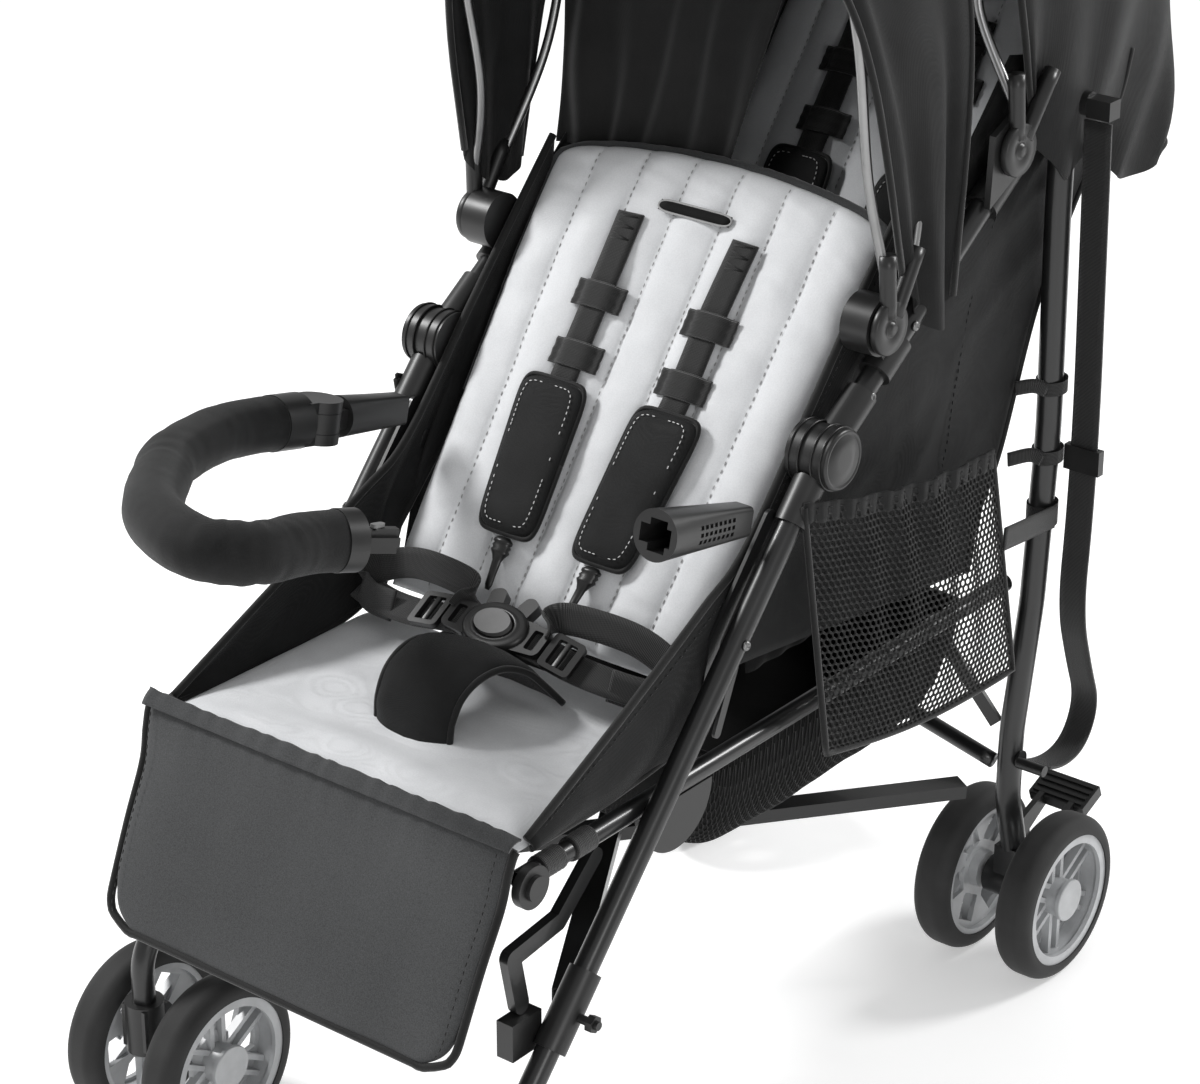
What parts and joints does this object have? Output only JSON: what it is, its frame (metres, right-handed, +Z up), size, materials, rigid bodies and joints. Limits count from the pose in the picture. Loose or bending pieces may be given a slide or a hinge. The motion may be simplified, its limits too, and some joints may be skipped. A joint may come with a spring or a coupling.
{
  "type": "tandem stroller",
  "caption": "Tandem umbrella stroller with two reclining padded seats, folding hoods, swing-away bumper bar, twin swivel front wheels, under-seat basket and mesh side pockets.",
  "frame": {"origin": "on the floor under the middle of the whole stroller's length and width", "axes": "+X to the stroller's left, -Y to the front, +Z up"},
  "size_m": [0.5024, 1.1397, 1.0474],
  "materials": {
    "frame_black": "satin",
    "plastic_black": "fine matte",
    "grip_foam": "soft foam",
    "fabric_black": "woven, slight sheen",
    "mesh_black": "open mesh",
    "tyre_rubber": "matte",
    "rim_grey": "satin",
    "button_grey": "satin",
    "fabric_grey": "quilted",
    "webbing_black": "ribbed webbing",
    "fabric_charcoal": "heathered",
    "bow_aluminium": "drawn"
  },
  "bodies": {
    "centre": {"front_seat_pan": "fabric_grey", "front_buckle": "plastic_black", "rear_seat_pan": "fabric_grey", "basket": "mesh_black", "lock_bar": "frame_black"},
    "side_left": {"front_leg_left": "frame_black", "lower_fittings_left": "plastic_black", "knuckle_left": "plastic_black", "handle_tube_left": "frame_black", "grip_left": "grip_foam", "rear_leg_left": "frame_black", "seat_rail_left": "frame_black", "fold_links_left": "frame_black", "canopy_hinges_left": "plastic_black", "side_panel_left": "fabric_black", "side_pocket_left": "mesh_black", "bumper_socket_left": "plastic_black", "carry_strap": "webbing_black", "strap_hardware": "plastic_black"},
    "side_right": {"front_leg_right": "frame_black", "lower_fittings_right": "plastic_black", "knuckle_right": "plastic_black", "handle_tube_right": "frame_black", "grip_right": "grip_foam", "rear_leg_right": "frame_black", "seat_rail_right": "frame_black", "fold_links_right": "frame_black", "canopy_hinges_right": "plastic_black", "side_panel_right": "fabric_black", "side_pocket_right": "mesh_black", "bumper_socket_right": "plastic_black"},
    "caster_left": {"caster_fork_left": "plastic_black"},
    "front_wheels_left": {"tyres_front_left": "tyre_rubber", "rims_front_left": "rim_grey"},
    "rear_wheels_left": {"tyres_rear_left": "tyre_rubber", "rims_rear_left": "rim_grey"},
    "brake_left": {"brake_pedal_left": "plastic_black"},
    "caster_right": {"caster_fork_right": "plastic_black"},
    "front_wheels_right": {"tyres_front_right": "tyre_rubber", "rims_front_right": "rim_grey"},
    "rear_wheels_right": {"tyres_rear_right": "tyre_rubber", "rims_rear_right": "rim_grey"},
    "brake_right": {"brake_pedal_right": "plastic_black"},
    "footrest": {"footrest_panel": "fabric_charcoal"},
    "front_back": {"front_backrest": "fabric_grey", "front_straps": "webbing_black"},
    "rear_back": {"rear_backrest": "fabric_grey", "rear_straps": "webbing_black"},
    "front_canopy": {"front_hood": "fabric_black", "front_hood_bows": "bow_aluminium"},
    "rear_canopy": {"rear_hood": "fabric_black", "rear_hood_bows": "bow_aluminium"},
    "bumper": {"bumper_bar": "plastic_black", "bumper_sleeve": "fabric_black"},
    "bumper_release": {"bumper_button": "button_grey"},
    "buckle_release": {"front_buckle_button": "button_grey"},
    "bottom_arm_a": {"bottom_brace_a": "frame_black"},
    "bottom_arm_b": {"bottom_brace_b": "frame_black"},
    "rear_arm_a": {"rear_brace_a": "frame_black"},
    "rear_arm_b": {"rear_brace_b": "frame_black"}
  },
  "joints": [
    {"name": "umbrella_fold", "type": "slide", "parent": "centre", "child": "side_left", "axis": [-1, 0, 0], "range_m": [0, 0.085], "deforming": ["front_seat_pan", "front_buckle", "rear_seat_pan", "basket", "lock_bar", "front_backrest", "front_straps", "rear_backrest", "rear_straps", "footrest_panel", "front_hood", "front_hood_bows", "rear_hood", "rear_hood_bows", "front_buckle_button"]},
    {"name": "fold_other_side", "type": "slide", "parent": "centre", "child": "side_right", "axis": [1, 0, 0], "range_m": [0, 0.085]},
    {"name": "fold_bottom_arm_a", "type": "hinge", "parent": "centre", "child": "bottom_arm_a", "pos_m": [0, -0.03665, 0.208], "axis": [0, 0, 1], "range_deg": [-17.4, 0]},
    {"name": "fold_bottom_arm_b", "type": "hinge", "parent": "centre", "child": "bottom_arm_b", "pos_m": [0, -0.03665, 0.208], "axis": [0, 0, 1], "range_deg": [0, 17.4]},
    {"name": "fold_rear_arm_a", "type": "hinge", "parent": "centre", "child": "rear_arm_a", "pos_m": [0, 0.28185, 0.411], "axis": [0, 1, 0], "range_deg": [-22.5, 0]},
    {"name": "fold_rear_arm_b", "type": "hinge", "parent": "centre", "child": "rear_arm_b", "pos_m": [0, 0.28185, 0.411], "axis": [0, 1, 0], "range_deg": [0, 22.5]},
    {"name": "caster_swivel_left", "type": "hinge", "parent": "side_left", "child": "caster_left", "pos_m": [0.192, -0.39715, 0.112], "axis": [0, 0, 1], "continuous": true},
    {"name": "front_wheels_spin_left", "type": "hinge", "parent": "caster_left", "child": "front_wheels_left", "pos_m": [0.192, -0.36115, 0.075], "axis": [1, 0, 0], "continuous": true},
    {"name": "rear_wheels_spin_left", "type": "hinge", "parent": "side_left", "child": "rear_wheels_left", "pos_m": [0.192, 0.28585, 0.075], "axis": [1, 0, 0], "continuous": true},
    {"name": "brake_press_left", "type": "hinge", "parent": "side_left", "child": "brake_left", "pos_m": [0.192, 0.30485, 0.103], "axis": [1, 0, 0], "range_deg": [-12, 0]},
    {"name": "caster_swivel_right", "type": "hinge", "parent": "side_right", "child": "caster_right", "pos_m": [-0.192, -0.39715, 0.112], "axis": [0, 0, 1], "continuous": true},
    {"name": "front_wheels_spin_right", "type": "hinge", "parent": "caster_right", "child": "front_wheels_right", "pos_m": [-0.192, -0.36115, 0.075], "axis": [1, 0, 0], "continuous": true},
    {"name": "rear_wheels_spin_right", "type": "hinge", "parent": "side_right", "child": "rear_wheels_right", "pos_m": [-0.192, 0.28585, 0.075], "axis": [1, 0, 0], "continuous": true},
    {"name": "brake_press_right", "type": "hinge", "parent": "side_right", "child": "brake_right", "pos_m": [-0.192, 0.30485, 0.103], "axis": [1, 0, 0], "range_deg": [-12, 0]},
    {"name": "footrest_raise", "type": "hinge", "parent": "centre", "child": "footrest", "pos_m": [0, -0.36615, 0.363], "axis": [1, 0, 0], "range_deg": [-40, 0]},
    {"name": "front_recline", "type": "hinge", "parent": "centre", "child": "front_back", "pos_m": [0, -0.14515, 0.415], "axis": [1, 0, 0], "range_deg": [-18, 0]},
    {"name": "rear_recline", "type": "hinge", "parent": "centre", "child": "rear_back", "pos_m": [0, 0.12185, 0.437], "axis": [1, 0, 0], "range_deg": [-6, 6]},
    {"name": "front_hood_fold", "type": "hinge", "parent": "centre", "child": "front_canopy", "pos_m": [0, 0.03785, 0.674], "axis": [1, 0, 0], "range_deg": [0, 35]},
    {"name": "rear_hood_fold", "type": "hinge", "parent": "centre", "child": "rear_canopy", "pos_m": [0, 0.19885, 0.775], "axis": [1, 0, 0], "range_deg": [-12, 0]},
    {"name": "bumper_swing", "type": "hinge", "parent": "side_right", "child": "bumper", "pos_m": [-0.172, -0.19515, 0.576], "axis": [0, 0.225, 0.9744], "range_deg": [-8, 40.5]},
    {"name": "bumper_button_press", "type": "slide", "parent": "bumper", "child": "bumper_release", "axis": [0, -0.225, -0.9744], "range_m": [0, 0.0015], "stiffness_N_per_m": 400},
    {"name": "buckle_button_press", "type": "slide", "parent": "centre", "child": "buckle_release", "axis": [0, 0.5, -0.866], "range_m": [0, 0.0004], "stiffness_N_per_m": 600}
  ],
  "couplings": [
    {"joint": "fold_other_side", "follows": "umbrella_fold", "ratio": 1},
    {"joint": "fold_bottom_arm_a", "follows": "umbrella_fold", "rad_per_m": -3.4701},
    {"joint": "fold_bottom_arm_b", "follows": "umbrella_fold", "rad_per_m": 3.4701},
    {"joint": "fold_rear_arm_a", "follows": "umbrella_fold", "rad_per_m": -4.5173},
    {"joint": "fold_rear_arm_b", "follows": "umbrella_fold", "rad_per_m": 4.5173}
  ]
}
